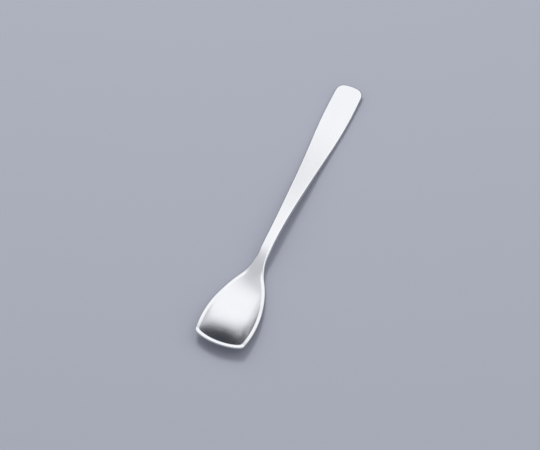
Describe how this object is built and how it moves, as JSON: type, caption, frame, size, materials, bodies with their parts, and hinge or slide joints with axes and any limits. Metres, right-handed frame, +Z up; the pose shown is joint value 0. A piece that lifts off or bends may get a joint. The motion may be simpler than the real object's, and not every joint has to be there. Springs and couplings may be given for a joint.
{
  "type": "spoon",
  "caption": "Ice cream spoon in one piece of stainless steel: a blunt, shovel-shaped bowl with a flat land around it, a narrow neck and a flat handle that widens to a rounded, square end.",
  "frame": {"origin": "on the table plane, under the middle of the spoon's box", "axes": "+X along the spoon from the front edge of the bowl to the end of the handle, +Z up out of the hollow of the bowl, +Y to the left of someone who looks from the bowl to the handle"},
  "size_m": [0.135, 0.022, 0.006],
  "materials": {
    "stainless_steel": "satin, with fine lines along the spoon"
  },
  "bodies": {
    "root": {"spoon": "stainless_steel"}
  },
  "joints": []
}
